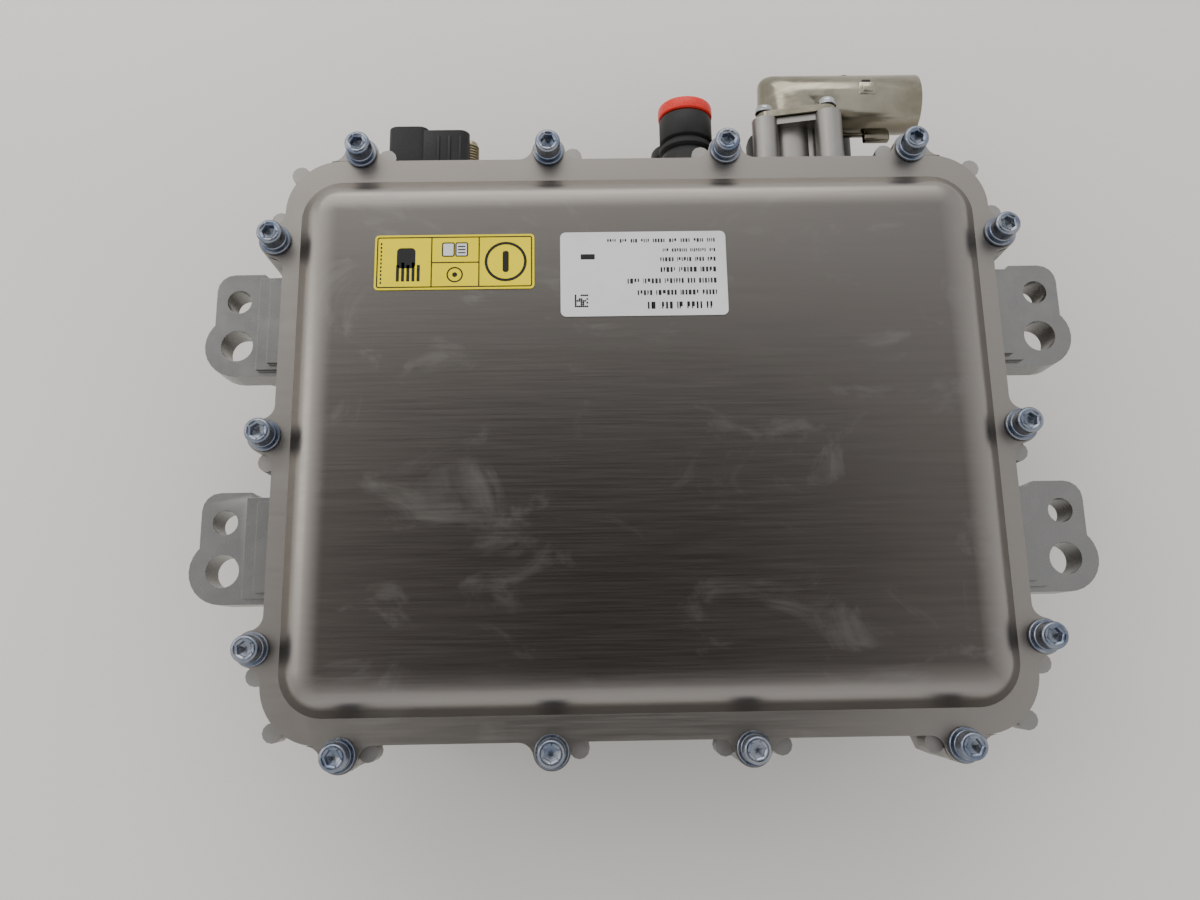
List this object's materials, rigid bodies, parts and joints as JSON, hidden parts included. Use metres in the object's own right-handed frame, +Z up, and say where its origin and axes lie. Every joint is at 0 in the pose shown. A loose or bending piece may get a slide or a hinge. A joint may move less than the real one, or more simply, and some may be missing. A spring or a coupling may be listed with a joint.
{
  "type": "sealed power inverter",
  "caption": "Sealed power inverter in a cast-aluminium casing with a screwed cover, mounting lugs, a high-voltage elbow, plastic connectors and capped coolant ports.",
  "frame": {"origin": "centre of the underside, on the coolant plate's outer face", "axes": "+X along the casing's length, +Y towards the wall with the connectors, +Z up through the cover"},
  "size_m": [0.349, 0.2966, 0.0975],
  "materials": {
    "cast_metal": "as-cast aluminium, machined on the flange and worn bright on the lugs",
    "cover_metal": "brushed sheet, warm grey",
    "screw_metal": "zinc-plated with a blue passivation",
    "nickel": "cream-tinted nickel plate",
    "stud_metal": "yellow-passivated",
    "copper": "bare copper bar",
    "black_plastic": "glass-filled moulded plastic",
    "grey_plastic": "moulded plastic",
    "red_plastic": "soft moulded cap",
    "black_rubber": "moulded rubber",
    "sealant": "formed-in-place seal",
    "board": "solder-masked glass board",
    "ferrite": "coated ferrite",
    "yellow_film": "printed film label",
    "white_film": "printed film label"
  },
  "bodies": {
    "housing": {"casing": "cast_metal", "casing_floor": "cast_metal", "control_board": "board", "coolant_plate": "cast_metal", "cover_gasket": "sealant", "current_sensor": "black_plastic", "discharge_resistor": "cast_metal", "driver_board": "board", "earth_stud": "stud_metal", "elbow_insert": "black_plastic", "elbow_screw_1": "screw_metal", "elbow_screw_2": "screw_metal", "elbow_screw_3": "screw_metal", "elbow_shell": "nickel", "filter_core": "ferrite", "inlet_boot": "black_rubber", "inlet_pipe": "cast_metal", "link_capacitor": "grey_plastic", "lug_left_back": "cast_metal", "lug_left_front": "cast_metal", "lug_right_back": "cast_metal", "lug_right_front": "cast_metal", "motor_connector": "black_plastic", "motor_contact_block": "grey_plastic", "negative_bar": "copper", "outlet_boot": "black_rubber", "outlet_pipe": "cast_metal", "phase_bar_u": "copper", "phase_bar_v": "copper", "phase_bar_w": "copper", "positive_bar": "copper", "power_module_u": "grey_plastic", "power_module_v": "grey_plastic", "power_module_w": "grey_plastic", "shield_plate": "cover_metal", "signal_connector": "black_plastic", "signal_pins": "grey_plastic", "vent_plug": "black_plastic"},
    "cover": {"top_cover": "cover_metal", "warning_label": "yellow_film", "rating_label": "white_film"},
    "cover_screws": {"cover_screw_01": "screw_metal", "cover_screw_02": "screw_metal", "cover_screw_03": "screw_metal", "cover_screw_04": "screw_metal", "cover_screw_05": "screw_metal", "cover_screw_06": "screw_metal", "cover_screw_07": "screw_metal", "cover_screw_08": "screw_metal", "cover_screw_09": "screw_metal", "cover_screw_10": "screw_metal", "cover_screw_11": "screw_metal", "cover_screw_12": "screw_metal", "cover_screw_13": "screw_metal", "cover_screw_14": "screw_metal"},
    "outlet_cap": {"outlet_plug": "red_plastic"},
    "inlet_cap": {"inlet_plug": "black_plastic"}
  },
  "joints": [
    {"name": "cover_lift", "type": "slide", "parent": "housing", "child": "cover", "axis": [0, 0, 1], "range_m": [0, 0.08]},
    {"name": "cover_screws_withdraw", "type": "slide", "parent": "cover", "child": "cover_screws", "axis": [0, 0, 1], "range_m": [0, 0.03]},
    {"name": "outlet_plug_pull", "type": "slide", "parent": "housing", "child": "outlet_cap", "axis": [0, 1, 0], "range_m": [0, 0.03]},
    {"name": "inlet_plug_pull", "type": "slide", "parent": "housing", "child": "inlet_cap", "axis": [0, 1, 0], "range_m": [0, 0.03]}
  ]
}
